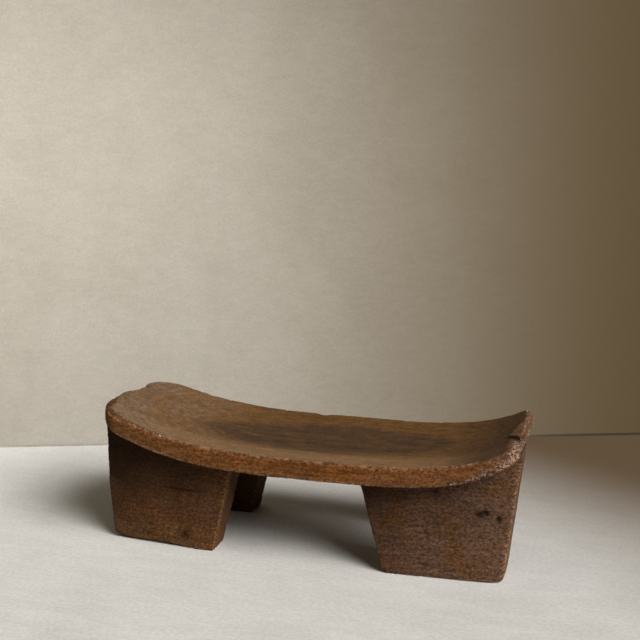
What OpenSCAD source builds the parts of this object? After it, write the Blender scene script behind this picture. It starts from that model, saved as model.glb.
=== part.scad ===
// Carved wooden headrest: a shallow oblong dish on four tapered block legs, all cut from one log.
// +X runs along the length, +Y across it and +Z up. The origin is on the ground under the middle
// of the seat. Sizes are in millimetres.

/* [Seat] */
// Overall length
seat_l = 435; // [400:1:480]
// Overall width, at the foot of the rim
seat_w = 176; // [160:1:200]
// Height of the rim halfway along the seat
mid_h = 110; // [95:1:120]
// Height of the rim at the left end
left_h = 144; // [125:1:160]
// Height of the rim at the right end
right_h = 137; // [125:1:160]
// How late the left end turns up, as a power of the distance from the middle
left_turn = 2.6; // [2:0.1:5]
// How late the right end turns up, as a power of the distance from the middle
right_turn = 4.6; // [2:0.1:6]
// Share of the width that the rim draws in by towards the ends
taper = 0.1; // [0:0.01:0.15]

/* [Rim and dish] */
// Thickness of the rim along the sides
rim_t = 18.5; // [16:0.5:24]
// Thickness of the rim at the tips of the ends
end_t = 12.5; // [8:0.5:14]
// How far the foot of the rim stands out past the upper edge at the sides
side_slope = 7; // [3:0.5:10]
// How far the foot of the rim stands out past the upper edge at the right end
right_slope = 6.5; // [2:0.5:8]
// How far the upper edge overhangs the foot of the rim at the left end
left_lip = 4.5; // [0:0.5:8]
// Depth of the dish below the rim, halfway along
dish_d = 5; // [3:0.5:11]
// How far the upper edge is worn down
arris_d = 1.5; // [0:0.5:2.5]

/* [Legs] */
// Distance between the left and the right legs on the ground
leg_gap = 178; // [160:1:200]
// Distance over the left and the right legs on the ground
leg_span = 407; // [370:1:415]
// How far to the right of the middle of the seat the legs stand
leg_offset = -1.5; // [-4:0.5:4]
// Distance over the front and the back legs, at their inner ends
leg_spread = 146; // [130:1:150]
// Thickness of a leg from front to back
leg_t = 30; // [24:1:40]
// How far a leg widens towards the middle between the ground and the rim
inner_flare = 28; // [10:1:35]
// How far a left leg widens towards the end between the ground and the rim
left_flare = 8; // [2:1:12]
// How far a right leg widens towards the end between the ground and the rim
right_flare = 13; // [2:1:16]
// How much shorter the back right leg is at its outer end
short_leg = 6; // [0:1:10]
// Radius of a leg's worn upright edges
leg_r = 3; // [1:0.5:6]

/* [Hidden] */

half_l = seat_l / 2;
half_w = seat_w / 2;
tall = max(left_h, right_h);

// Stations along half of the seat, closest together where the corners turn
LONG_STEPS = 18;
LONG_CROWDING = 2.2;
// The last station stops half a step short, so each end of the seat closes on a short flat.
LAST_SHARE = 1 - pow(0.5 / LONG_STEPS, LONG_CROWDING);
// Points across half of the dish, closest together at the rim
CROSS_STEPS = 8;
// Powers that square up the corners of the upper edge and of the foot of the rim
UPPER_SQUARE = 55;
FOOT_SQUARE = 100;
// Power at which the rim thins towards the ends, and at which the dish runs out there
THIN_POWER = 6;
DISH_POWER = 4;
// Power that keeps the wear close to the upper edge
ARRIS_POWER = 24;
// How much a leg's faces bow in towards the end of the seat, and the steps that draw the bow
LEG_BOW = 0.14;
BOW_STEPS = 6;
LEG_FN = 24;
WOOD = [0.36, 0.23, 0.14];

// Station i runs from -LONG_STEPS to LONG_STEPS, and its share of the length from -1 to 1.
function share(i) = sign(i) * (1 - pow(1 - abs(i) / LONG_STEPS, LONG_CROWDING));
function outline_share(i, power) = sqrt(1 - pow(abs(share(i)) * LAST_SHARE, power));

function rim_height(x) =
    x < 0 ? mid_h + (left_h - mid_h) * pow(-x / half_l, left_turn)
          : mid_h + (right_h - mid_h) * pow(x / (half_l - right_slope), right_turn);
function rim_thickness(x) = rim_t - (rim_t - end_t) * pow(abs(x) / half_l, THIN_POWER);
function dish_depth(u, v) =
    dish_d * (1 - pow(u, DISH_POWER)) * (1 - v * v) + arris_d * pow(abs(v), ARRIS_POWER);

function foot_x(i) = share(i) * (i < 0 ? half_l - left_lip : half_l);
function foot_y(i) = half_w * (1 - taper * pow(foot_x(i) / half_l, 2)) * outline_share(i, FOOT_SQUARE);
function foot_z(i) = rim_height(foot_x(i)) - rim_thickness(foot_x(i));

// One slice of the seat at station i: the dish from front to back, then the foot of the rim.
function slice(i) =
    let (u = share(i),
         x = u * (i < 0 ? half_l : half_l - right_slope),
         y = (half_w - side_slope) * (1 - taper * u * u) * outline_share(i, UPPER_SQUARE))
    concat(
        [for (j = [-CROSS_STEPS : CROSS_STEPS])
            let (v = sin(90 * j / CROSS_STEPS))
            [x, y * v, rim_height(x) - dish_depth(u, v)]],
        [[foot_x(i), foot_y(i), foot_z(i)], [foot_x(i), -foot_y(i), foot_z(i)]]);

module seat() {
    ring = 2 * CROSS_STEPS + 3;
    slices = 2 * LONG_STEPS;
    points = [for (i = [-LONG_STEPS : LONG_STEPS]) each slice(i)];
    skin = [for (s = [0 : slices - 1], j = [0 : ring - 1])
        let (a = s * ring + j, b = s * ring + (j + 1) % ring)
        each [[a, b, b + ring], [a, b + ring, a + ring]]];
    left_end = [for (j = [0 : ring - 3]) [ring - 1, j + 1, j]];
    right_end = [for (f = left_end) [for (k = [0, 2, 1]) f[k] + slices * ring]];
    color(WOOD) polyhedron(points = points, faces = concat(skin, left_end, right_end));
}

// The space under the seat, seen from the front: a leg stops where it meets this line.
module under_seat() {
    rotate([90, 0, 0])
        linear_extrude(seat_w, center = true)
            polygon(concat(
                [for (i = [-LONG_STEPS : LONG_STEPS]) [foot_x(i), foot_z(i)]],
                [[half_l, 0], [-half_l + left_lip, 0]]));
}

// A leg seen from the front. side is 1 on the right and -1 on the left.
module leg_front(side, flare, cut) {
    inner = leg_gap / 2;
    outer = leg_span / 2 - cut;
    lean = tall / mid_h;
    translate([leg_offset, 0, 0])
        rotate([90, 0, 0])
            linear_extrude(seat_w, center = true)
                polygon([
                    [side * inner, 0],
                    [side * outer, 0],
                    [side * (outer + flare * lean), tall],
                    [side * (inner - inner_flare * lean), tall]]);
}

// The outer face of a leg on the +Y side bows in towards the ends of the seat.
function bow_y(x) = leg_spread / 2 * (1 - LEG_BOW * pow(x / half_l, 2));

// A leg seen from above, on the +Y side, kept inside the foot of the rim.
module leg_plan(side) {
    innermost = leg_gap / 2 - inner_flare * tall / mid_h;
    steps = [for (k = [0 : BOW_STEPS]) innermost + k / BOW_STEPS * (half_l - innermost)];
    offset(r = leg_r, $fn = LEG_FN)
        offset(delta = -leg_r)
            intersection() {
                polygon(concat(
                    [for (i = [-LONG_STEPS : LONG_STEPS]) [foot_x(i), foot_y(i)]],
                    [[half_l, 0], [-half_l + left_lip, 0]]));
                polygon(concat(
                    [for (x = steps) [side * x, bow_y(x)]],
                    [for (k = [BOW_STEPS : -1 : 0]) [side * steps[k], bow_y(steps[k]) - leg_t]]));
            }
}

// across is -1 for a front leg and 1 for a back leg.
module leg(side, across, flare, cut = 0) {
    color(WOOD) intersection() {
        leg_front(side, flare, cut);
        under_seat();
        mirror([0, across < 0 ? 1 : 0, 0])
            linear_extrude(tall)
                leg_plan(side);
    }
}

module leg_front_left() { leg(-1, -1, left_flare); }
module leg_front_right() { leg(1, -1, right_flare); }
module leg_back_left() { leg(-1, 1, left_flare); }
module leg_back_right() { leg(1, 1, right_flare, short_leg); }

seat();
leg_front_left();
leg_front_right();
leg_back_left();
leg_back_right();
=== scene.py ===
"""A carved wooden headrest: a shallow oblong dish on four block legs, cut from one log.

The CAD model gives the frame. Each CAD node is replaced by a carved piece of the same size,
with worn edges, tool marks, cracks and chips in its mesh, and all of them share one wood.
Shapes are worked out in millimetres, and go into the meshes in metres.
"""
import itertools
import math

import bpy
import numpy as np
from mathutils import Matrix, Vector


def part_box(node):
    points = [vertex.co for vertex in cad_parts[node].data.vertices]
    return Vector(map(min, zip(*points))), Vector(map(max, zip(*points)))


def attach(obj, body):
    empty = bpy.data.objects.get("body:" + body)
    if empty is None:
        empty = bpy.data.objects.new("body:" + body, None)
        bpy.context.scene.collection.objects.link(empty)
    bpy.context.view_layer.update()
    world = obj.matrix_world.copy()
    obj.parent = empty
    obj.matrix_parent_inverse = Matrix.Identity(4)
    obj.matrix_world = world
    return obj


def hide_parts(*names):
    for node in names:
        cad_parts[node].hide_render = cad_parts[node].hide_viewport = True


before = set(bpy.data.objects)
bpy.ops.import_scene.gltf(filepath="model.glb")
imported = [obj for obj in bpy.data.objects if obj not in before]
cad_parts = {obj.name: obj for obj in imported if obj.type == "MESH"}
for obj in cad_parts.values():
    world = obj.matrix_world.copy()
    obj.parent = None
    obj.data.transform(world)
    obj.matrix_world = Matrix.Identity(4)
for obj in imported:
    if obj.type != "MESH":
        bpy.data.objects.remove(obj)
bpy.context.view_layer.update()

# ---------------------------------------------------------------- sizes, in millimetres
MM = 0.001
# The seat: its box, its heights, how it turns up and draws in at the ends, its rim and its dish
SEAT_LOW, SEAT_HIGH = (np.array(corner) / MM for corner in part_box("seat"))
HALF_L = SEAT_HIGH[0]
HALF_W = SEAT_HIGH[1]
LEFT_H = SEAT_HIGH[2]
RIM_T = 18.5
MID_H = SEAT_LOW[2] + RIM_T
RIGHT_H = 137.0
LEFT_TURN = 2.6
RIGHT_TURN = 4.6
TAPER = 0.10
END_T = 12.5
THIN_POWER = 6
SIDE_SLOPE = 7.0
RIGHT_SLOPE = 6.5
LEFT_LIP = 4.5
DISH_D = 5.0
DISH_POWER = 4
# Corner radii in plan, keyed by the sides of the seat: -1 is left or front
UPPER_CORNERS = {(-1, -1): 27.0, (-1, 1): 32.0, (1, -1): 20.0, (1, 1): 13.0}
UPPER_BOW = 2.0
FOOT_CORNERS = {(-1, -1): 23.0, (-1, 1): 24.0, (1, -1): 16.0, (1, 1): 11.0}
FOOT_BOW = 2.0
BOW_POWER = 8

# The legs: where they stand, how they widen upwards, and how they bow and lean
LEG_OFFSET = -1.5
LEG_INNER = 89.0
LEG_OUTER = 203.5
INNER_FLARE = 28.0
OUTER_FLARE = {-1: 8.0, 1: 13.0}
LEG_Y = 73.0
LEG_BOW = 0.14
LEG_LEAN = 0.02
LEG_T = 30.0
SHORT_LEG = 6.0
# How far a leg runs up into the seat, and how far it stays inside the seat's ends
LEG_EMBED = 2.0
LEG_MARGIN = {-1: 3.5, 1: 1.2}
# How far a leg swells just under the seat, and over what height
FILLET = 3.0
FILLET_H = 4.0

# ---------------------------------------------------------------- the camera
# Where it stands, how it is turned in degrees, and its lens
CAMERA_AT = (308.0, -982.2, 424.0)
CAMERA_YAW = 17.23
CAMERA_PITCH = 10.57
CAMERA_ROLL = -0.21
CAMERA_LENS = 57.93
SENSOR = 36.0


def make_camera():
    data = bpy.data.cameras.new("camera")
    data.lens = CAMERA_LENS
    data.sensor_width = SENSOR
    camera = bpy.data.objects.new("camera", data)
    bpy.context.scene.collection.objects.link(camera)
    turn = Matrix.Rotation(math.radians(CAMERA_YAW), 4, "Z")
    tilt = Matrix.Rotation(math.radians(90 - CAMERA_PITCH), 4, "X")
    roll = Matrix.Rotation(math.radians(CAMERA_ROLL), 4, "Z")
    camera.matrix_world = Matrix.Translation(Vector(CAMERA_AT) * MM) @ turn @ tilt @ roll
    bpy.context.scene.camera = camera


# ---------------------------------------------------------------- noise and blending
class Noise:
    """Seeded gradient noise over points in space."""

    TABLE = 256
    GAIN = 1.8
    LAYER_SHIFT = 17.3

    def __init__(self, seed):
        rng = np.random.default_rng(seed)
        self.order = rng.permutation(self.TABLE)
        slopes = rng.normal(size=(self.TABLE, 3))
        self.slopes = slopes / np.linalg.norm(slopes, axis=1, keepdims=True)

    def hashed(self, cell):
        """A number below TABLE for each cell of space, the same every time."""
        x, y, z = (cell % self.TABLE).T
        mixed = self.order[(self.order[x] + y) % self.TABLE]
        return self.order[(mixed + z) % self.TABLE]

    def at(self, points, size):
        """About -1 to 1, in lumps about size across: one number, or one for each axis."""
        spot = points / np.asarray(size, float)
        cell = np.floor(spot).astype(int)
        inside = spot - cell
        fade = inside**3 * (inside * (inside * 6 - 15) + 10)
        total = np.zeros(len(points))
        for corner in itertools.product((0, 1), repeat=3):
            corner = np.array(corner)
            slope = self.slopes[self.hashed(cell + corner)]
            share = np.prod(np.where(corner, fade, 1 - fade), axis=1)
            total += share * ((inside - corner) * slope).sum(axis=1)
        return total * self.GAIN

    def layered(self, points, size, layers):
        """The same noise with finer layers on top, each half as large and half as strong."""
        size = np.asarray(size, float)
        shift = self.LAYER_SHIFT
        return sum(self.at(points + shift * k, size / 2**k) / 2**k for k in range(layers))


def mix(a, b, share):
    return a + (b - a) * share


def rise(value, start, end):
    """0 before start and 1 after end, with a smooth step between. end may be below start."""
    share = np.clip((value - start) / (end - start), 0, 1)
    return share * share * (3 - 2 * share)


def near(gap, width):
    """1 where there is no gap, falling away over a width."""
    return np.exp(-((gap / width) ** 2))


def blob(points, centre, radii):
    """1 at the centre of a soft lump, falling away over its radii."""
    return np.exp(-(((points - np.array(centre)) / np.array(radii)) ** 2).sum(axis=1))


def off_line(points, start, end):
    """How far each point is from a straight line, and its share of the way along it."""
    start, end = np.array(start, float), np.array(end, float)
    way = end - start
    share = np.clip((points - start) @ way / (way @ way), 0, 1)
    gap = np.linalg.norm(points - start - share[:, None] * way, axis=1)
    return gap, share


# ---------------------------------------------------------------- meshes
def block_skin(steps):
    """The skin of a block as quads facing out: spots from 0 to 1 along each axis."""
    quads = []
    for axis in range(3):
        a, b = (axis + 1) % 3, (axis + 2) % 3
        i, j = (grid.ravel() for grid in np.mgrid[0:steps[a], 0:steps[b]])
        for end in (0, steps[axis]):
            around = ((0, 0), (1, 0), (1, 1), (0, 1)) if end else ((0, 0), (0, 1), (1, 1), (1, 0))
            corners = np.empty((len(i), 4, 3), int)
            for k, (di, dj) in enumerate(around):
                corners[:, k, axis] = end
                corners[:, k, a] = i + di
                corners[:, k, b] = j + dj
            quads.append(corners)
    spots, index = np.unique(np.concatenate(quads).reshape(-1, 3), axis=0, return_inverse=True)
    return spots / np.array(steps), index.reshape(-1, 4)


def skin_edges(quads):
    """Each pair of neighbouring points, once."""
    pairs = np.concatenate([quads[:, [k, (k + 1) % 4]] for k in range(4)])
    return np.unique(np.sort(pairs, axis=1), axis=0)


def smooth(points, edges, weight, rounds):
    """Each round moves a point towards the middle of its neighbours, by its weight."""
    count = len(points)
    a, b = edges.T
    neighbours = np.bincount(a, minlength=count) + np.bincount(b, minlength=count)
    for _ in range(rounds):
        middle = np.empty_like(points)
        for axis in range(3):
            level = points[:, axis]
            total = np.bincount(a, level[b], count) + np.bincount(b, level[a], count)
            middle[:, axis] = total / neighbours
        points = points + weight[:, None] * (middle - points)
    return points


def spread(values, edges, rounds):
    """Softens one value per point over the skin."""
    return smooth(np.repeat(values[:, None], 3, axis=1), edges, np.full(len(values), 0.5), rounds)[:, 0]


def normals(points, quads):
    """The direction that the skin faces at each point."""
    p = points[quads]
    facing = np.cross(p[:, 2] - p[:, 0], p[:, 3] - p[:, 1])
    total = np.empty_like(points)
    for axis in range(3):
        weights = np.repeat(facing[:, axis], 4)
        total[:, axis] = np.bincount(quads.ravel(), weights, len(points))
    return total / np.maximum(np.linalg.norm(total, axis=1, keepdims=True), 1e-9)


def edge_distance(spots, sides):
    """How far each spot on the block's skin is from the block's nearest edge."""
    to_faces = np.minimum(spots, 1 - spots) * np.array(sides)
    return np.sort(to_faces, axis=1)[:, 1]


def make_piece(name, node, points, quads, marks):
    """One carved piece from points in millimetres, in place of its CAD node.

    marks holds a number from 0 to 1 for each point, under each name that the wood reads.
    """
    mesh = bpy.data.meshes.new(name)
    mesh.from_pydata((points * MM).tolist(), [], quads.tolist())
    mesh.shade_smooth()
    for mark, values in marks.items():
        attribute = mesh.attributes.new(mark, "FLOAT", "POINT")
        attribute.data.foreach_set("value", np.clip(values, 0, 1).astype(np.float32))
    mesh.materials.append(WOOD)
    piece = bpy.data.objects.new(name, mesh)
    bpy.context.scene.collection.objects.link(piece)
    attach(piece, "root")
    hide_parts(node)


# ---------------------------------------------------------------- the form they all share
def rim_height(x):
    """The height of the upper edge at a place along the seat."""
    left = (LEFT_H - MID_H) * np.clip(-x / HALF_L, 0, None) ** LEFT_TURN
    right = (RIGHT_H - MID_H) * np.clip(x / (HALF_L - RIGHT_SLOPE), 0, None) ** RIGHT_TURN
    return MID_H + left + right


def foot_height(x):
    """The height of the foot of the rim there, and of the underside."""
    return rim_height(x) - mix(RIM_T, END_T, np.abs(x / HALF_L) ** THIN_POWER)


def plan(s, t, left, right, half_w, corners, bow):
    """A spot of the block in plan: tapered outline, round corners and bowed ends."""
    front = np.where(s < 0, corners[-1, -1], corners[1, -1])
    back = np.where(s < 0, corners[-1, 1], corners[1, 1])
    corner = np.where(t < 0, front, back)
    reach = np.where(s < 0, left, right)
    x = s * reach
    side = half_w * (1 - TAPER * (x / HALF_L) ** 2)
    y = t * side
    over_x = np.clip((np.abs(x) - reach + corner) / corner, 0, 1)
    over_y = np.clip((np.abs(y) - side + corner) / corner, 0, 1)
    x = x - np.sign(x) * corner * over_x * (1 - np.sqrt(1 - over_y**2 / 2))
    y = y - np.sign(y) * corner * over_y * (1 - np.sqrt(1 - over_x**2 / 2))
    return x - np.sign(x) * bow * t**2 * np.abs(s) ** BOW_POWER, y


# How far a hand-cut surface wanders along each axis, in lumps of what size
WANDER_BY = (0.4, 0.7, 0.5)
WANDER_SIZE = (90, 60, 60)
WANDER_SHIFT = 300


def hand_cut(points):
    """Slow wander of a hand-cut form, the same for every piece so that they stay joined."""
    wander = np.stack([WANDER.at(points + WANDER_SHIFT * k, WANDER_SIZE) for k in range(3)], axis=1)
    wander *= np.array(WANDER_BY)
    # The soles stay flat on the ground
    wander[:, 2] *= rise(points[:, 2], 5, 60)
    return points + wander


# ---------------------------------------------------------------- the seat
SEAT_STEPS = (400, 100, 14)
CROSS_CROWDING = 0.45
# How low the rim has worn at the back left, and how proud it stands elsewhere
BACK_LEFT_WORN = 2.0
PROUD = 0.8
# The dark spindle along the dish: its middle, half its length and width, and where its line runs
SPINDLE_X = 13.0
SPINDLE_HALF_L = 166.0
SPINDLE_HALF_W = 51.0
SPINDLE_LEFT_Y = -7.0
SPINDLE_RIGHT_Y = 9.0
SPINDLE_SWAY = 4.0
# How wide the worn edges are, along the top of the rim and along its foot
UPPER_WEAR_W = 2.6
FOOT_WEAR_W = 2.0
# The most that a point gives way in one round of smoothing
MOST_SMOOTHED = 0.9
# Chips knocked out of the rim's edges: place, radii and depth
CHIPS = [
    ((-16, 81, 109), (6, 3.5, 3.5), 2.2),
    ((-150, 78, 121), (4, 3, 3), 2.2),
    ((-193, -63, 135), (4, 2.5, 3), 0.8),
    ((-138, -77, 120), (4, 2.5, 2.5), 0.7),
    ((36, -79, 109), (5, 2.5, 2.5), 0.7),
]

# The front left corner has worn round, and along the front it has worn to a shoulder
LEFT_CORNER = (-206, -68, 139)
LEFT_CORNER_SIZE = (22, 22, 30)
SHOULDER_W = 14.0
SHOULDER_END_W = 0.65 * SHOULDER_W
SHOULDER_FROM = -110.0
SHOULDER_RUN = 100.0
SHOULDER_POWER = 2.2
# The left end's rim has worn down in a step, with a notch beside it
STEP_CUT = 2.8
STEP_IN = 3.0
STEP_LIP = 0.9
NOTCH_AT = (-211, 36, 141)
NOTCH_SIZE = (5, 2.4, 6)
NOTCH_CUT = 0.3

# The right end has crumbled to raw wood, from here along the front
RAW_FROM = 150.0
RAW_RUN = 56.0
RAW_BACK = -20.0
# The raw band along its top edge, and how much wider it is about one place
RAW_TOP_W = 5.0
RAW_TOP_MORE = 4.0
RAW_TOP_Y = -38.0
RAW_TOP_HALF = 18.0
# How far the ragged line of the breaks strays along the seat
RAGGED_X = 22.0
# The split in the right end's inner edge, and its width and depth at both ends
SPLIT_FROM = (197.5, -11.5, 129.0)
SPLIT_TO = (212.0, -30.0, 138.0)
SPLIT_W = (1.8, 6.2)
SPLIT_CUT = (1.0, 4.6)
# The flake that came away behind the split
FLAKE_LEFT = 199.0
FLAKE_RIGHT = 211.0
FLAKE_FRONT = -7.0
FLAKE_BACK = 50.0
FLAKE_CUT = 5.0
FLAKE_RUN = 10.0
FLAKE_SLANT = 1.1
# The upper edge has broken away at the right end's front corner
BREAK_Y = -44.0
BREAK_HALF = 22.0
BREAK_W = 8.5
BREAK_CUT = 5.0


class SeatSkin:
    """Where the seat's points lie: s along it and t across it, -1 to 1, and w up it, 0 to 1."""

    def __init__(self, s, t, w):
        self.s, self.t, self.w = s, t, w
        self.on_top = w == 1
        self.under = w == 0
        self.on_side = np.maximum(np.abs(s), np.abs(t)) == 1
        from_rim = np.minimum((1 - np.abs(s)) * HALF_L, (1 - np.abs(t)) * HALF_W)
        faces = [self.on_top, self.under]
        # How far each point is over the skin from the upper edge, and from the foot of the rim
        self.from_upper = np.select(faces, [from_rim, RIM_T + from_rim], (1 - w) * RIM_T)
        self.from_foot = np.select(faces, [RIM_T, from_rim], w * RIM_T)


def seat_form(spots):
    """The plain form of the seat: a dish on top, a sloping rim, a flat underside."""
    s, t, w = (spots * np.array([2, 2, 1]) - np.array([1, 1, 0])).T
    t = mix(t, np.sin(t * np.pi / 2), CROSS_CROWDING)
    upper_x, upper_y = plan(
        s, t, HALF_L, HALF_L - RIGHT_SLOPE, HALF_W - SIDE_SLOPE, UPPER_CORNERS, UPPER_BOW)
    foot_x, foot_y = plan(s, t, HALF_L - LEFT_LIP, HALF_L, HALF_W, FOOT_CORNERS, FOOT_BOW)
    dish = DISH_D * (1 - s**DISH_POWER) * (1 - t * t)
    # The rim has worn low at the back left, and stands proud at the front left and along the back
    worn = BACK_LEFT_WORN * rise(upper_y, 20, 60) * rise(upper_x, -176, -206)
    worn -= PROUD * rise(upper_y, -34, -56) * rise(upper_x, -186, -208)
    proud = PROUD * rise(upper_y, 30, 68) * rise(upper_x, 170, 208) + PROUD * rise(upper_y, 55, 75)
    upper_z = rim_height(upper_x) - dish - worn + proud
    z = mix(foot_height(foot_x), upper_z, w)
    points = np.stack([mix(foot_x, upper_x, w), mix(foot_y, upper_y, w), z], axis=1)
    return points, SeatSkin(s, t, w)


def wear_seat(points, edges, skin):
    """Wears the rim's edges and its front left corner round, and says how worn each point is."""
    uneven = 0.75 + 0.5 * WEAR.at(points, (30, 20, 20))
    wear_upper = near(skin.from_upper, UPPER_WEAR_W) * uneven
    wear_foot = near(skin.from_foot, FOOT_WEAR_W) * uneven
    points = smooth(points, edges, np.clip(wear_upper + 0.8 * wear_foot, 0, MOST_SMOOTHED), 7)
    left_corner = blob(points, LEFT_CORNER, LEFT_CORNER_SIZE) * near(skin.from_upper, 7)
    points = smooth(points, edges, np.clip(1.6 * left_corner, 0, MOST_SMOOTHED), 30)
    return points, np.clip(wear_upper + wear_foot, 0, 1)


def patina_and_shade_mark(points):
    """The dark spindle that years of heads and hands have left along the dish, and painted shade up the
    dish's right end.
    """
    x, y, _ = points.T
    along = np.clip((x - SPINDLE_X) / SPINDLE_HALF_L, -1, 1)
    line = mix(SPINDLE_LEFT_Y, SPINDLE_RIGHT_Y, (along + 1) / 2) + SPINDLE_SWAY * along**3
    half = SPINDLE_HALF_W * (1 - np.abs(along) ** 1.8)
    streaks = WEAR.layered(points, (120, 9, 30), 3) * 5
    front = rise(y - line + half + streaks, -14, 24)
    back = rise(line + half - y + 0.4 * streaks, -6, 9)
    clouds = 0.86 + 0.2 * WEAR.layered(points + 70, (60, 12, 12), 2)
    spindle = front * back * rise(half, 0, 24) * clouds
    # Painted shade over the inner slope of the right end, which faces away from the window
    return np.maximum(spindle, 0.6 * rise(x + streaks, 120, 185))


def polish_and_sheen_mark(skin):
    """Where hands have polished the top, along the front and over the left end, and less at the right
    end: smoother there, and paler with a painted sheen.
    """
    front = rise(skin.t, -0.25, -0.75)
    left = rise(skin.s, -0.2, -0.7)
    right = rise(skin.s, 0.62, 0.9)
    return np.clip(np.maximum(front, 0.38 * left) * (1 - 0.8 * right) + 0.1, 0, 1)


def flake_mark(points):
    """Where the flake came away: how far inside its slanting edge, and 1 over its face."""
    x, y, _ = points.T
    share = (FLAKE_BACK - y) / (FLAKE_BACK - FLAKE_FRONT)
    inside = x - mix(FLAKE_RIGHT, FLAKE_LEFT, share)
    front = y - FLAKE_FRONT + FLAKE_SLANT * (x - FLAKE_LEFT)
    return inside, rise(inside, -0.8, 0.8) * rise(front, -0.8, 0.8) * (x > FLAKE_LEFT - 1)


def shoulder_mark(points, skin):
    """The worn shoulder on top: how far outside its inner line, and 1 over it."""
    x, y, _ = points.T
    ragged = 0.8 * BITES.layered(points + 33, (6, 5, 5), 2)
    along = np.clip((SHOULDER_FROM - x) / SHOULDER_RUN, 0, 1)
    from_front = SHOULDER_W * along**SHOULDER_POWER - (1 + skin.t) * HALF_W
    from_end = SHOULDER_END_W * rise(y, -16, -50) - (1 + skin.s) * HALF_L
    outside = np.maximum(from_front, from_end) + ragged * rise(x, -120, -150)
    return outside, rise(outside, -0.6, 0.6) * (x < SHOULDER_FROM - 2) * skin.on_top


def raw_end_mark(points, skin, ragged):
    """Where the right end is raw: along the front, over its end face, its top edge and the flake."""
    x, y, _ = points.T
    front = rise((x - RAW_FROM) / RAW_RUN - skin.w + ragged, -0.08, 0.10) * (y < RAW_BACK)
    front = front * skin.on_side * mix(1.0, 0.55, skin.w)
    end = skin.s == 1
    face = end * rise(ragged, -0.6, -0.2) * mix(1.0, 0.5, skin.w)
    face = face * mix(1.0, 0.5, rise(y, 12, 40) * rise(skin.w, 0.1, 0.5))
    face = 0.5 * end * near(skin.from_foot, 3.5) + face
    top_w = RAW_TOP_W + RAW_TOP_MORE * near(y - RAW_TOP_Y, RAW_TOP_HALF)
    top = 0.9 * skin.on_top * np.exp(-((skin.from_upper / top_w) ** 4))
    top = top * rise(x + RAGGED_X * ragged, 174, 194)
    _, shed = flake_mark(points)
    flake = 0.66 * skin.on_top * shed
    return np.clip(front + face + top * (1 - shed) + flake, 0, 1)


def cut_split(points, outward):
    """The wedge-shaped split in the right end's inner edge, and where its painted shade lies."""
    gap, share = off_line(points, SPLIT_FROM, SPLIT_TO)
    width = mix(*SPLIT_W, share)
    depth = mix(*SPLIT_CUT, share) * near(gap, width)
    return points - outward * depth[:, None], near(gap, width + 1.0)


def seat_bites(points, skin):
    """Small bites out of the upper edge, and out of the foot of the rim."""
    upper = rise(BITES.layered(points, (7, 4.5, 4.5), 2), 0.34, 0.75) * near(skin.from_upper, 2.8)
    lower = rise(BITES.layered(points + 91, (14, 5, 5), 2), 0.45, 0.8) * near(skin.from_foot, 2.6)
    return upper, lower


def seat_tool_marks(points, skin, crumbs):
    """Flat tool marks around the side and underneath, and fine grain on a smoother top."""
    depth = skin.on_side * 0.4 * np.abs(SCALLOP.at(points, (26, 9, 9)))
    depth += 0.05 * skin.on_side * crumbs * rise(skin.from_upper, 1, 5)
    depth += skin.under * 0.9 * np.abs(SCALLOP.at(points + 50, (34, 24, 24)))
    depth += skin.on_top * 0.25 * SCALLOP.at(points, (60, 16, 16))
    depth += skin.on_top * 0.10 * FINE.at(points, (60, 2.6, 2.6))
    return depth


def break_right_end(points, skin, whole, ragged):
    """Takes away the flake, which left a leaning face, and the broken front corner."""
    x, y, _ = whole.T
    up_rim = rise(skin.w, 0.0, 1.0)
    inside, shed = flake_mark(whole)
    points[:, 2] -= FLAKE_CUT * shed * np.clip(inside / FLAKE_RUN, 0, 1) * up_rim
    broken = near(y - BREAK_Y, BREAK_HALF) * rise(x + RAGGED_X * ragged, 178, 200) * up_rim
    sloping = np.where(skin.on_top, np.clip(1 - skin.from_upper / BREAK_W, 0, 1), 1.0)
    points[:, 2] -= BREAK_CUT * broken * sloping


def wear_left_end(points, skin, whole):
    """Cuts the worn step and the notch into the left end's rim, and says where the notch is."""
    x, y, _ = whole.T
    near_left = rise(x, -196, -212) * near(skin.from_upper, 18)
    step = rise(y, 70, 24) * rise(y, -6, 20) * near_left
    lip = rise(y, 37, 32) * rise(y, -6, 20) * near_left
    points[:, 2] -= STEP_CUT * step + STEP_LIP * lip
    points[:, 0] += STEP_IN * step
    notch = blob(points, NOTCH_AT, NOTCH_SIZE)
    points[:, 2] -= NOTCH_CUT * notch
    return notch


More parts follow.
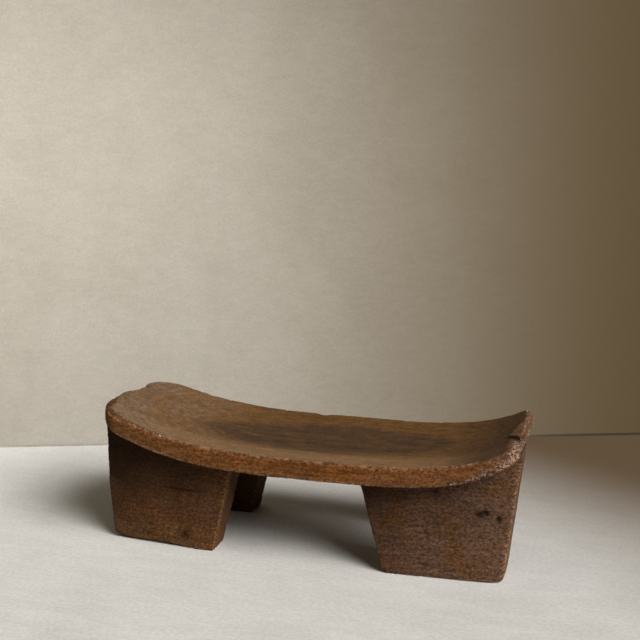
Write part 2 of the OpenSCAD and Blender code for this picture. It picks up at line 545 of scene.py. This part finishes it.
def make_seat():
    """The seat: its plain form, then worn, cut with tool marks, chipped and broken."""
    spots, quads = block_skin(SEAT_STEPS)
    edges = skin_edges(quads)
    points, skin = seat_form(spots)
    whole, worn = wear_seat(hand_cut(points), edges, skin)
    outward = normals(whole, quads)
    x = whole[:, 0]

    ragged = 0.35 * BITES.layered(whole, (12, 5, 5), 3)
    outside, shoulder = shoulder_mark(whole, skin)
    right_end = raw_end_mark(whole, skin, ragged)
    left_end = rise(x, -206, -212)
    upper_bites, low_bites = seat_bites(whole, skin)
    crumbs = np.clip(FINE.layered(whole, (4.5, 3.2, 3.2), 2), -1, 1)
    hollows = np.clip(crumbs, 0, 1)
    carved = upper_bites * 1.3 + low_bites * 0.9 + seat_tool_marks(whole, skin, crumbs)
    # Crumbly end grain, the worn shoulder with a crumbled line along its inner side, and chips
    carved += right_end * (0.5 + 0.6 * hollows)
    carved += left_end * near(skin.from_upper, 7) * 0.8 * hollows
    carved += shoulder * (0.2 + 1.2 * np.clip(outside / SHOULDER_W, 0, 1) + 0.4 * hollows)
    chips = 1.2 * skin.on_top * near(outside, 1.6) * rise(crumbs, -0.1, 0.3) * rise(x, -118, -150)
    for centre, radii, deep in CHIPS:
        dent = blob(whole, centre, radii)
        carved += deep * dent
        chips += dent
    points = whole - outward * carved[:, None]
    break_right_end(points, skin, whole, ragged)
    notch = wear_left_end(points, skin, whole)
    points, split = cut_split(points, outward)
    points = np.clip(points, SEAT_LOW, SEAT_HIGH)

    raw = right_end + 0.8 * upper_bites + mix(0.6, 1.1, rise(x, 20, 90)) * low_bites + chips
    raw = spread(np.clip(raw, 0, 1), edges, 1)
    upper_side = skin.on_side * rise(skin.from_upper, 8, 3) * rise(x, 205, 165)
    marks = {
        "patina_and_shade": patina_and_shade_mark(points) * skin.on_top,
        "polish_and_sheen": polish_and_sheen_mark(skin) * skin.on_top,
        "ashen": np.full(len(points), 0.5),
        "rim": spread(np.maximum(skin.on_side, shoulder), edges, 2),
        "arris": spread(np.maximum(upper_side, 0.7 * shoulder), edges, 1),
        "leg": spread(skin.under * 1.0, edges, 2),
        "raw": np.clip(raw + 0.3 * left_end * skin.on_side, 0, 1),
        "wear": worn,
        # Painted shade in the split and the notch, and darker wood on the shoulder at the left end
        "grime_and_shade": np.clip(split * 1.1 + 0.8 * notch + 0.35 * shoulder * rise(x, -190, -206), 0, 1),
    }
    make_piece("seat_carved", "seat", points, quads, marks)


# ---------------------------------------------------------------- the legs
LEG_STEPS = (132, 29, 104)
# Rounds that settle a leg's top against the curved foot of the rim
SETTLE_ROUNDS = 8
# About how long a leg is at the ground, for the wear of its outer bottom corner
SOLE_L = 110.0
# Where knots and pits sit on a leg: place, radii and depth
PITS = {
    "leg_front_right": [
        ((178.5, -65.5, 66.8), (3.0, 4, 1.9), 2.2),
        ((184.5, -65, 69), (3.0, 4, 2.1), 2.4),
        ((196.8, -64, 64), (2.1, 4, 2.3), 2.0),
        ((138, -68, 87), (2.0, 4, 1.4), 1.0),
    ],
    "leg_front_left": [
        ((-121.5, -69.5, 14.5), (4.6, 4, 3.8), 1.0),
        ((-124, -70, 62.5), (17, 4, 0.9), 0.8),
    ],
    "leg_back_left": [((-160, 69, 52), (3.0, 3, 2.0), 1.6)],
    "leg_back_right": [((150, 68, 84), (2.6, 3, 1.8), 1.6)],
}
# How greyed each leg's brown is
ASHEN = {"leg_front_left": 0.3, "leg_front_right": 1.0, "leg_back_left": 0.4, "leg_back_right": 0.6}
# How dark each leg's painted shade is just under the rim, where the rim overhangs it
LEG_SHADE = {"leg_front_left": 0.86, "leg_front_right": 0.52, "leg_back_left": 1.0, "leg_back_right": 0.6}
# How dark each leg's painted shade is at the ground
LOW_LEG_SHADE = {"leg_front_left": 0.0, "leg_front_right": 0.07, "leg_back_left": 0.8, "leg_back_right": 0.2}
# How far each leg's sole has worn up along its outer face
SOLE_WEAR = {"leg_front_left": 2.4, "leg_front_right": 1.0, "leg_back_left": 1.0, "leg_back_right": 1.0}
# How far each leg's outer bottom corner has worn round
CORNER_WEAR = {"leg_front_left": 6.0, "leg_front_right": 6.0, "leg_back_left": 4.0, "leg_back_right": 3.0}
EDGE_WEAR_W = 2.2
# Above this share of its height a leg is inside the seat, where its edges don't wear
LEG_TOP = 0.93
UNWORN = 20.0
# How far a leg's faces stand out before its tool marks are cut
LEG_SWELL = 0.4
# A pit this deep is fully dark, with a fainter ring around it
DEEP_PIT = 1.6
HALO_SIZE = 2.6
HALO_SHARE = 0.18


def leg_form(spots, side, across, cut):
    """The plain form of a leg. side is 1 on the right, and across is -1 at the front."""
    s = spots[:, 0] if side > 0 else 1 - spots[:, 0]
    depth = (spots[:, 1] if across < 0 else 1 - spots[:, 1]) * LEG_T
    w = spots[:, 2]
    z = w * foot_height(side * LEG_INNER)
    limit = HALF_L - LEG_MARGIN[side] - (LEFT_LIP if side < 0 else 0)
    for _ in range(SETTLE_ROUNDS):
        inner = LEG_INNER - INNER_FLARE * z / MID_H
        outer = LEG_OUTER - cut + OUTER_FLARE[side] * z / MID_H
        x = np.clip(side * mix(inner, outer, s) + LEG_OFFSET, -limit, limit)
        under = foot_height(x)
        z = w * (under + LEG_EMBED)
    flare = FILLET * np.exp(-np.clip(under - z, 0, None) / FILLET_H) * rise(s, 1.0, 0.9)
    x = x - side * flare * (1 - s) ** 6
    y = LEG_Y * (1 - LEG_BOW * (x / HALF_L) ** 2) - LEG_LEAN * z - depth
    y = y + flare * (1 - 2 * depth / LEG_T)
    return np.stack([x, across * y, z], axis=1), s, depth, w


def rightwards(points):
    """Each point's share of the way from the leg's left to its right."""
    x = points[:, 0]
    return (x - x.min()) / (x.max() - x.min())


def leg_shade_mark(points, share, w, node):
    """How dark a leg's painted shade is: most of all under the rim and on its left."""
    ashen = ASHEN[node]
    drift = WEAR.layered(points + 140, (40, 30, 24), 2)
    height = rise(w + 0.14 * drift, mix(-0.15, 0.22, ashen), mix(0.8, 0.95, ashen))
    across = share + 0.1 * drift
    # Painted shade from the ground up to the rim, lighter over the leg's right, where the window falls
    leg_shade = mix(LOW_LEG_SHADE[node], LEG_SHADE[node], height) * mix(1.0, 0.55, rise(across, 0.5, 1.0))
    # More painted shade on the leg's left, away from the window
    return leg_shade + mix(0.24, 0.48, ashen) * rise(across, 0.45, 0.0)


def make_leg(node, side, across, cut=0.0):
    """A leg: its plain form, then worn, cut with tool marks and pitted. cut shortens its sole."""
    spots, quads = block_skin(LEG_STEPS)
    edges = skin_edges(quads)
    points, s, depth, w = leg_form(spots, side, across, cut)
    points = hand_cut(points)
    tall = points[:, 2].max()
    from_edge = edge_distance(spots, (LEG_OUTER - LEG_INNER, LEG_T, tall))
    from_edge = np.where(w > LEG_TOP, UNWORN, from_edge)
    uneven = 0.8 + 0.5 * WEAR.at(points, (18, 18, 18))
    wear = near(from_edge, EDGE_WEAR_W) * uneven
    corner = near(np.hypot((1 - s) * SOLE_L, w * tall), CORNER_WEAR[node])
    points = smooth(points, edges, np.clip(wear + corner, 0, MOST_SMOOTHED), 6)
    points = smooth(points, edges, np.clip(1.5 * corner, 0, MOST_SMOOTHED), 25)
    outward = normals(points, quads)
    lifted = near(depth, 6) * near(w * tall, 4) * rise(s, 0.15, 0.45)
    points[:, 2] += SOLE_WEAR[node] * lifted
    share = rightwards(points)

    # Bites along the edges and the sole, flat tool marks, and coarser end grain
    end_face = (s == 1) | (s == 0)
    by_edge = near(w * tall, 3.5) * near(from_edge, 3.5) + 0.7 * near(from_edge, 2.6)
    bites = rise(BITES.layered(points, (9, 6, 6), 2), 0.3, 0.75) * by_edge
    crumbs = FINE.layered(points, (5, 2.8, 2.8), 2)
    carved = 1.1 * np.clip(bites, 0, 1) - LEG_SWELL
    carved += 0.7 * np.abs(SCALLOP.at(points, (30, 30, 19)))
    carved += 0.12 * crumbs + end_face * 0.08 * crumbs
    carved += 0.10 * FINE.at(points, (30, 3.5, 3.5))
    pits = np.zeros(len(points))
    for centre, radii, deep in PITS[node]:
        dent = blob(points, centre, radii)
        halo = blob(points, centre, np.array(radii) * HALO_SIZE)
        carved += deep * dent
        pits += min(deep / DEEP_PIT, 1.0) * (dent + HALO_SHARE * halo)
    points = points - outward * (carved * rise(w, 1.0, 0.94))[:, None]
    points[:, 2] = np.maximum(points[:, 2], 0)
    points[:, 0] = np.clip(points[:, 0], -HALF_L, HALF_L)
    ashen = ASHEN[node]
    marks = {
        "patina_and_shade": np.zeros(len(points)),
        "polish_and_sheen": np.zeros(len(points)),
        "ashen": np.full(len(points), ashen),
        "rim": np.zeros(len(points)),
        "arris": np.zeros(len(points)),
        "leg": np.ones(len(points)),
        "raw": spread(np.clip(0.7 * bites, 0, 1), edges, 1),
        "wear": wear * rise(w, 1.0, 0.9) * mix(0.2, 1.0, ashen),
        # Dark pits, with the leg's painted shade added
        "grime_and_shade": np.clip(pits * 1.3 + leg_shade_mark(points, share, w, node), 0, 1),
    }
    make_piece(node + "_carved", node, points, quads, marks)


# ---------------------------------------------------------------- node helpers
class Shading:
    """A material's nodes, with one short call for each kind."""

    # The Mix node's sockets for colours
    COLOUR_A = 6
    COLOUR_B = 7
    COLOUR_OUT = 2

    def __init__(self, name):
        self.material = bpy.data.materials.new(name)
        self.material.use_nodes = True
        self.tree = self.material.node_tree
        self.shader = next(n for n in self.tree.nodes if n.type == "BSDF_PRINCIPLED")

    def feed(self, socket, value):
        if isinstance(value, bpy.types.NodeSocket):
            self.tree.links.new(value, socket)
        else:
            socket.default_value = value

    def attribute(self, name):
        node = self.tree.nodes.new("ShaderNodeAttribute")
        node.attribute_name = name
        return node.outputs["Fac"]

    def place(self):
        return self.tree.nodes.new("ShaderNodeTexCoord").outputs["Object"]

    def vector(self, operation, a, b=(0.0, 0.0, 0.0)):
        node = self.tree.nodes.new("ShaderNodeVectorMath")
        node.operation = operation
        self.feed(node.inputs[0], a)
        self.feed(node.inputs[1], b)
        return node.outputs

    def stretched(self, place, size_mm):
        """Object space divided by a size, so that one unit is that size."""
        return self.vector("DIVIDE", place, [size * MM for size in size_mm])[0]

    def noise(self, place, size_mm, detail=2.0, roughness=0.5, distortion=0.0):
        node = self.tree.nodes.new("ShaderNodeTexNoise")
        self.feed(node.inputs["Vector"], self.stretched(place, size_mm))
        node.inputs["Scale"].default_value = 1.0
        node.inputs["Detail"].default_value = detail
        node.inputs["Roughness"].default_value = roughness
        node.inputs["Distortion"].default_value = distortion
        return node.outputs[0]

    def cells(self, place, size_mm):
        node = self.tree.nodes.new("ShaderNodeTexVoronoi")
        self.feed(node.inputs["Vector"], self.stretched(place, size_mm))
        node.inputs["Scale"].default_value = 1.0
        return node.outputs["Distance"]

    def math(self, operation, a, b=0.0):
        node = self.tree.nodes.new("ShaderNodeMath")
        node.operation = operation
        self.feed(node.inputs[0], a)
        self.feed(node.inputs[1], b)
        return node.outputs[0]

    def scaled(self, value, low, high, to_low=0.0, to_high=1.0):
        """value's range low..high carried to to_low..to_high, held there outside it."""
        node = self.tree.nodes.new("ShaderNodeMapRange")
        node.interpolation_type = "SMOOTHSTEP"
        self.feed(node.inputs["Value"], value)
        limits = {"From Min": low, "From Max": high, "To Min": to_low, "To Max": to_high}
        for name, number in limits.items():
            node.inputs[name].default_value = number
        return node.outputs["Result"]

    def blend(self, share, a, b, kind="MIX"):
        node = self.tree.nodes.new("ShaderNodeMix")
        node.data_type = "RGBA"
        node.blend_type = kind
        self.feed(node.inputs["Factor"], share)
        self.feed(node.inputs[self.COLOUR_A], a)
        self.feed(node.inputs[self.COLOUR_B], b)
        return node.outputs[self.COLOUR_OUT]

    def shaded(self, colour, shade):
        """The colour times one number."""
        grey = self.tree.nodes.new("ShaderNodeCombineColor")
        for channel in range(3):
            self.feed(grey.inputs[channel], shade)
        return self.blend(1.0, colour, grey.outputs[0], "MULTIPLY")

    def along(self, place, way):
        """How far each spot lies in one direction, in metres."""
        return self.vector("DOT_PRODUCT", place, way)["Value"]

    def bump(self, height, distance_mm, strength=1.0):
        node = self.tree.nodes.new("ShaderNodeBump")
        node.inputs["Strength"].default_value = strength
        node.inputs["Distance"].default_value = distance_mm * MM
        self.feed(node.inputs["Height"], height)
        return node.outputs["Normal"]


# ---------------------------------------------------------------- materials
# The polished top's tone: paler and greyer with a painted sheen
TOP_TONE_AND_SHEEN = (0.198, 0.111, 0.050, 1)
TOP_ASH = (0.153, 0.101, 0.065, 1)
TOP_WARM = (0.110, 0.052, 0.016, 1)
PATINA_AND_SHADE_TONE = (0.061, 0.036, 0.020, 1)
RIM_TONE = (0.116, 0.039, 0.008, 1)
RIM_PALE = (0.168, 0.071, 0.023, 1)
RIM_DARK = (0.072, 0.023, 0.006, 1)
RIM_OLIVE = (0.080, 0.040, 0.014, 1)
RIM_ROSE = (0.150, 0.068, 0.033, 1)
RIM_RUST = (0.150, 0.049, 0.009, 1)
RIM_EMBER = (0.200, 0.082, 0.034, 1)
RIM_BURNT = (0.066, 0.019, 0.004, 1)
LEG_TONE = (0.107, 0.050, 0.016, 1)
LEG_WARM = (0.142, 0.056, 0.018, 1)
LEG_PURPLE = (0.112, 0.060, 0.037, 1)
LEG_DARK = (0.060, 0.026, 0.012, 1)
LEG_DUST_AND_LIGHT = (0.200, 0.122, 0.086, 1)
RAW_TONE = (0.138, 0.078, 0.047, 1)
RAW_DARK = (0.082, 0.035, 0.017, 1)
RAW_PALE = (0.520, 0.380, 0.285, 1)
WORN_TONE = (0.270, 0.155, 0.085, 1)
# The dark of pits and dirt, also laid down as painted shade
PIT_AND_SHADE_TONE = (0.015, 0.006, 0.0025, 1)
# Where the log's pith runs, how far its layers wander, and how thick they are
PITH_MM = (0.0, 14.0, -35.0)
PITH_WOBBLE_MM = 22.0
RING_MM = 3.4
# How much the wood shines where it faces the light, kept constant
SHINE = 0.06


class Wood(Shading):
    """The one wood that all the pieces share, led by the marks on their points."""

    def __init__(self):
        super().__init__("carved_wood")
        self.patina_and_shade = self.attribute("patina_and_shade")
        self.polish_and_sheen = self.attribute("polish_and_sheen")
        self.ashen = self.attribute("ashen")
        self.rim = self.attribute("rim")
        self.arris = self.attribute("arris")
        self.leg = self.attribute("leg")
        self.raw = self.attribute("raw")
        self.wear = self.attribute("wear")
        self.grime_and_shade = self.attribute("grime_and_shade")

        place = self.place()
        self.fibre = self.noise(place, (26, 1.1, 1.1), 3.0, 0.6)
        self.streak = self.noise(place, (70, 6.5, 6.5), 3.0, 0.55, 0.3)
        self.speckle = self.noise(place, (3.0, 2.0, 2.0), 3.0, 0.65)
        self.mottle = self.noise(place, (13, 9, 9), 4.0, 0.65)
        self.lines = self.noise(place, (34, 2.6, 2.6), 3.0, 0.6, 0.2)
        self.crumble = self.noise(place, (2.4, 2.0, 2.0), 3.0, 0.7)
        self.splinter = self.noise(place, (2.2, 2.0, 2.0), 3.0, 0.7)
        self.blotch = self.noise(place, (46, 34, 34), 3.0, 0.6, 0.4)
        self.rust = self.noise(place, (38, 22, 26), 4.0, 0.6, 0.6)
        self.pores = self.cells(place, (7.0, 0.9, 0.9))
        self.rings = self.growth_layers(place)
        self.leftward = self.along(place, (-1, 0, 0))

    def growth_layers(self, place):
        """Thin growth layers around a pith that runs along the log, 0 to 1."""
        wobble = self.noise(place, (160, 40, 40), 2.0)
        offset = self.vector("SUBTRACT", place, [value * MM for value in PITH_MM])[0]
        across = self.vector("MULTIPLY", offset, (0.0, 1.0, 1.0))[0]
        from_pith = self.vector("LENGTH", across)["Value"]
        radius = self.math("ADD", from_pith, self.math("MULTIPLY", wobble, PITH_WOBBLE_MM * MM))
        wave = self.math("SINE", self.math("MULTIPLY", radius, 2 * math.pi / (RING_MM * MM)))
        return self.scaled(wave, -1.0, 1.0)

    def dish_tone(self):
        """Brown, paler with a painted sheen where polished, greyer at the left end, and dark along the
        spindle, with painted shade up the right end.
        """
        # Where polished, the top takes the paler tone: partly polished wood, partly painted sheen
        tone = self.blend(self.polish_and_sheen, TOP_WARM, TOP_TONE_AND_SHEEN)
        ash = self.scaled(self.leftward, 0.08, 0.20, 0.0, 0.7)
        ash = self.math("MULTIPLY", ash, self.scaled(self.blotch, 0.38, 0.58, 0.25, 1.0))
        tone = self.blend(ash, tone, TOP_ASH)
        # Dark patina along the spindle, and painted shade up the right end
        dark = self.math("MULTIPLY", self.patina_and_shade, self.scaled(self.streak, 0.25, 0.6, 1.0, 0.9))
        return self.blend(dark, tone, PATINA_AND_SHADE_TONE)

    def rim_tone(self):
        """Rust red, duller to the left and dustier to the right, with a burnt upper edge."""
        tone = self.blend(self.scaled(self.lines, 0.38, 0.66, 0.0, 0.9), RIM_TONE, RIM_PALE)
        tone = self.blend(self.scaled(self.rust, 0.44, 0.62, 0.0, 0.25), tone, RIM_ROSE)
        tone = self.blend(self.scaled(self.blotch, 0.46, 0.64, 0.0, 0.5), tone, RIM_OLIVE)
        tone = self.blend(self.scaled(self.leftward, 0.06, 0.20, 0.0, 0.7), tone, RIM_OLIVE)
        tone = self.blend(self.scaled(self.leftward, -0.07, -0.15, 0.0, 0.35), tone, RIM_EMBER)
        tone = self.blend(self.scaled(self.leftward, -0.198, -0.210, 0.0, 0.6), tone, LEG_DUST_AND_LIGHT)
        tone = self.blend(self.scaled(self.mottle, 0.56, 0.74, 0.0, 0.45), tone, RIM_DARK)
        tone = self.blend(self.math("MULTIPLY", self.arris, 0.55), tone, RIM_RUST)
        burnt = self.math("MULTIPLY", self.arris, self.scaled(self.splinter, 0.52, 0.60, 0.0, 0.75))
        return self.blend(burnt, tone, RIM_BURNT)

    def leg_tone(self):
        """Brown, in redder and darker clouds, greyed where ashen, with dust on it, and paler over the
        right of the right legs as painted light.
        """
        tone = self.blend(self.scaled(self.rust, 0.42, 0.66, 0.0, 0.8), LEG_TONE, LEG_WARM)
        greyed = self.math("MULTIPLY", self.ashen, self.scaled(self.blotch, 0.36, 0.56))
        tone = self.blend(greyed, tone, LEG_PURPLE)
        tone = self.blend(self.scaled(self.mottle, 0.52, 0.72, 0.0, 0.75), tone, LEG_DARK)
        tone = self.blend(self.scaled(self.crumble, 0.54, 0.70, 0.0, 0.5), tone, LEG_DUST_AND_LIGHT)
        # Painted light: paler over the right part of the right legs, on the window's side
        return self.blend(self.scaled(self.leftward, -0.14, -0.20, 0.0, 0.22), tone, LEG_DUST_AND_LIGHT)

    def bare_tone(self):
        """Freshly broken wood, with pale crumbs where it is rawest."""
        tone = self.blend(self.scaled(self.crumble, 0.42, 0.58), RAW_DARK, RAW_TONE)
        crumbs = self.scaled(self.splinter, 0.50, 0.64, 0.0, 0.95)
        crumbs = self.math("MULTIPLY", self.scaled(self.raw, 0.6, 0.95), crumbs)
        return self.blend(crumbs, tone, RAW_PALE)

    def shade(self):
        """Darker and lighter than 1 along the grain, the layers, the specks and the pores."""
        calm = self.math("MULTIPLY", self.rim, 0.45)
        calm = self.math("ADD", calm, self.math("MULTIPLY", self.leg, 0.75))
        calm = self.math("ADD", calm, self.math("MULTIPLY", self.patina_and_shade, 0.4))
        grain = self.scaled(self.fibre, 0.28, 0.72, -0.22, 0.22)
        grain = self.math("MULTIPLY", grain, self.math("SUBTRACT", 1.0, calm))
        shade = self.math("ADD", 1.0, grain)
        shade = self.math("MULTIPLY", shade, self.scaled(self.mottle, 0.3, 0.7, 0.84, 1.16))
        shade = self.math("MULTIPLY", shade, self.scaled(self.streak, 0.3, 0.7, 0.91, 1.09))
        layers = self.math("SUBTRACT", 1.08, self.math("MULTIPLY", self.rings, 0.16))
        shade = self.math("MULTIPLY", shade, layers)
        flecked = self.math("ADD", 0.5, self.math("MULTIPLY", self.rim, 0.35))
        flecked = self.math("ADD", flecked, self.math("MULTIPLY", self.leg, 0.5))
        fleck = self.math("SUBTRACT", self.scaled(self.speckle, 0.3, 0.7, 0.48, 1.52), 1.0)
        fleck = self.math("ADD", 1.0, self.math("MULTIPLY", fleck, flecked))
        shade = self.math("MULTIPLY", shade, fleck)
        return self.math("MULTIPLY", shade, self.scaled(self.pores, 0.0, 0.35, 0.72, 1.0))

    def colour(self):
        """The tones of the pieces, with worn edges, bare wood, shading, and dirt and painted shade over
        them.
        """
        colour = self.blend(self.rim, self.dish_tone(), self.rim_tone())
        colour = self.blend(self.leg, colour, self.leg_tone())
        worn = self.math("MULTIPLY", self.wear, self.scaled(self.speckle, 0.36, 0.60, 0.1, 0.75))
        colour = self.blend(worn, colour, WORN_TONE)
        colour = self.blend(self.scaled(self.raw, 0.05, 0.55, 0.0, 0.95), colour, self.bare_tone())
        colour = self.shaded(colour, self.shade())
        # Dark pits, dirt and painted shade laid over all
        return self.blend(self.math("MULTIPLY", self.grime_and_shade, 0.9), colour, PIT_AND_SHADE_TONE)

    def roughness(self):
        rough = self.math("SUBTRACT", 0.72, self.math("MULTIPLY", self.polish_and_sheen, 0.26))
        rough = self.math("ADD", rough, self.scaled(self.fibre, 0.3, 0.7, -0.06, 0.08))
        return self.math("ADD", rough, self.math("MULTIPLY", self.raw, 0.12))

    def relief(self):
        """Fibres, coarser specks off the polished top, crumbs where it is raw, and pores."""
        height = self.math("MULTIPLY", self.math("SUBTRACT", self.fibre, 0.5), 0.5)
        coarse = self.math("ADD", 0.15, self.math("MAXIMUM", self.rim, self.leg))
        coarse = self.math("MULTIPLY", self.math("SUBTRACT", self.speckle, 0.5), coarse)
        height = self.math("ADD", height, coarse)
        crumbly = self.math("MULTIPLY", self.raw, 0.5)
        crumbly = self.math("MULTIPLY", self.math("SUBTRACT", self.crumble, 0.5), crumbly)
        height = self.math("ADD", height, crumbly)
        return self.math("ADD", height, self.scaled(self.pores, 0.0, 0.3, -0.25, 0.0))


def make_wood():
    wood = Wood()
    wood.feed(wood.shader.inputs["Base Color"], wood.colour())
    wood.feed(wood.shader.inputs["Roughness"], wood.roughness())
    wood.feed(wood.shader.inputs["Normal"], wood.bump(wood.relief(), 0.55, 0.8))
    wood.shader.inputs["Specular IOR Level"].default_value = SHINE
    return wood.material


def make_plaster(name, tones, cloud_mm, shade_way, shade_from, shade_to):
    """Hand-laid plaster in a pale and a darker tone, with painted shade that darkens it to a third tone
    along one way.
    """
    pale, dark, dim = tones
    sh = Shading(name)
    place = sh.place()
    cloud = sh.noise(place, (cloud_mm, cloud_mm, cloud_mm), 5.0, 0.6, 0.3)
    trowel = sh.noise(place, (60, 16, 16), 5.0, 0.75, 0.8)
    grain = sh.noise(place, (4, 3, 3), 3.0, 0.7)
    colour = sh.blend(sh.scaled(cloud, 0.3, 0.75), pale, dark)
    colour = sh.shaded(colour, sh.scaled(trowel, 0.3, 0.7, 1.03, 0.94))
    colour = sh.shaded(colour, sh.scaled(grain, 0.3, 0.7, 1.06, 0.90))
    # Painted shade, growing along one way
    painted_shade = sh.scaled(sh.along(place, shade_way), shade_from * MM, shade_to * MM)
    colour = sh.blend(painted_shade, colour, dim)
    sh.feed(sh.shader.inputs["Base Color"], colour)
    sh.shader.inputs["Roughness"].default_value = 0.85
    sh.shader.inputs["Specular IOR Level"].default_value = 0.2
    height = sh.math("ADD", trowel, sh.math("MULTIPLY", grain, 0.35))
    sh.feed(sh.shader.inputs["Normal"], sh.bump(height, 1.0, 0.5))
    return sh.material


# ---------------------------------------------------------------- stage and light
# The line where the floor ends behind the object, and the wall stands further back
FLOOR_EDGE_ANGLE = 20.4
FLOOR_EDGE_POINT = (-95.0, 320.0)
FLOOR_REACH = 2600.0
FLOOR_DEPTH = 2400.0
FLOOR_T = 40.0
WALL_BACK = 1150.0
WALL_REACH = 3000.0
WALL_LOW = -900.0
WALL_HIGH = 2600.0
WALL_T = 50.0
# A darker strip of painted shade along the far edge of the floor
SHADE_STRIP_T = 4.0
SHADE_STRIP_RISE = 2.0
# Pale and darker tones of the plaster, and the tone of its painted shade
FLOOR_TONES_AND_SHADE = ((0.72, 0.72, 0.70, 1), (0.66, 0.655, 0.63, 1), (0.130, 0.088, 0.050, 1))
WALL_TONES_AND_SHADE = ((0.52, 0.48, 0.41, 1), (0.47, 0.43, 0.36, 1), (0.215, 0.155, 0.080, 1))
# The strip's tones, all dark: it is painted shade
CREVICE_SHADE_TONES = ((0.42, 0.40, 0.35, 1), (0.36, 0.34, 0.29, 1), (0.060, 0.045, 0.028, 1))
# The lights' tones, and how bright the room is by itself
WINDOW_TONE = (1.0, 0.975, 0.945)
FILL_TONE = (1.0, 0.77, 0.47)
ROOM_TONE = (1.0, 0.82, 0.56, 1)
ROOM_STRENGTH = 0.03
# The lamp on the wall: its cone in degrees, and its radius
WALL_CONE = 85
WALL_LAMP = 300.0


def stage_block(name, corners, low, high, material):
    """A straight-sided block over four corners, from one height to another."""
    points = [(corner.x * MM, corner.y * MM, z * MM) for z in (low, high) for corner in corners]
    faces = [(3, 2, 1, 0), (4, 5, 6, 7), (0, 1, 5, 4), (1, 2, 6, 5), (2, 3, 7, 6), (3, 0, 4, 7)]
    mesh = bpy.data.meshes.new(name)
    mesh.from_pydata(points, [], faces)
    mesh.materials.append(material)
    block = bpy.data.objects.new(name, mesh)
    bpy.context.scene.collection.objects.link(block)


def strip(left, right, thick):
    """The plan of a strip along the line from left to right, and thick behind it."""
    return [left, right, right + thick, left + thick]


def make_stage():
    """A plaster floor, a strip of painted shade along its far edge, and a wall behind it; floor and wall
    darken towards the right with painted shade.
    """
    angle = math.radians(FLOOR_EDGE_ANGLE)
    along = Vector((math.cos(angle), math.sin(angle), 0))
    back = Vector((-along.y, along.x, 0))
    middle = Vector((*FLOOR_EDGE_POINT, 0))
    left = middle - FLOOR_REACH * along
    right = middle + FLOOR_REACH * along
    front = FLOOR_DEPTH * back
    # The floor has painted shade towards its back right
    plaster = make_plaster("pale_plaster_and_shade", FLOOR_TONES_AND_SHADE, 120, (0.55, 0.83, 0.0), 60, 440)
    stage_block("floor", strip(left - front, right - front, front), -FLOOR_T, 0.0, plaster)

    wall_left = middle - WALL_REACH * along + WALL_BACK * back
    wall_right = middle + WALL_REACH * along + WALL_BACK * back
    # The wall has painted shade towards its right
    wash = make_plaster("grey_plaster_and_shade", WALL_TONES_AND_SHADE, 260, tuple(along), -300, 950)
    stage_block("wall", strip(wall_left, wall_right, WALL_T * back), WALL_LOW, WALL_HIGH, wash)

    # A dark strip of painted shade, darker towards the right
    edge = make_plaster("crevice_shade_plaster", CREVICE_SHADE_TONES, 60, (1.0, 0.0, 0.0), -200, 300)
    stage_block("crevice_shade_strip", strip(left, right, SHADE_STRIP_T * back), -FLOOR_T, SHADE_STRIP_RISE, edge)


def aim_light(name, data, place, target):
    """Hangs a light in its place, facing its target."""
    light = bpy.data.objects.new(name, data)
    bpy.context.scene.collection.objects.link(light)
    turn = (Vector(place) - Vector(target)).to_track_quat("Z", "Y").to_matrix().to_4x4()
    light.matrix_world = Matrix.Translation(Vector(place) * MM) @ turn


def soft_light(name, azimuth, elevation, distance, size, watts, colour, target, cone):
    """A square soft light. Azimuth 0 is in front of the seat, and 90 to its right."""
    data = bpy.data.lights.new(name, "AREA")
    data.shape = "SQUARE"
    data.size = size * MM
    data.energy = watts
    data.color = colour
    data.spread = math.radians(cone)
    a, e = math.radians(azimuth), math.radians(elevation)
    way = Vector((math.sin(a) * math.cos(e), -math.cos(a) * math.cos(e), math.sin(e)))
    aim_light(name, data, way * distance, target)


def wall_light(place, target, watts):
    """A soft cone of light on the wall, which passes the object by."""
    data = bpy.data.lights.new("wall_wash", "SPOT")
    data.spot_size = math.radians(WALL_CONE)
    data.spot_blend = 1.0
    data.shadow_soft_size = WALL_LAMP * MM
    data.energy = watts
    aim_light("wall_wash", data, place, target)


def make_light():
    """A window from the right, a weak warm fill from the left, a lamp on the wall and a dim room."""
    soft_light("window", 62, 42, 5200, 3600, 62, WINDOW_TONE, (-700, 100, 60), 50)
    soft_light("fill", -70, 50, 2600, 1800, 3.2, FILL_TONE, (0, 0, 60), 180)
    wall_light((-900, -300, 900), (-1000, 1150, -50), 66)
    world = bpy.data.worlds.new("room")
    world.use_nodes = True
    background = world.node_tree.nodes["Background"]
    background.inputs["Color"].default_value = ROOM_TONE
    background.inputs["Strength"].default_value = ROOM_STRENGTH
    bpy.context.scene.world = world
    bpy.context.scene.view_settings.view_transform = "Standard"


# ---------------------------------------------------------------- build
WANDER = Noise(11)
WEAR = Noise(23)
BITES = Noise(37)
FINE = Noise(41)
SCALLOP = Noise(59)

make_camera()
make_light()
make_stage()
WOOD = make_wood()
make_seat()
make_leg("leg_front_left", -1, -1)
make_leg("leg_front_right", 1, -1)
make_leg("leg_back_left", -1, 1)
make_leg("leg_back_right", 1, 1, SHORT_LEG)
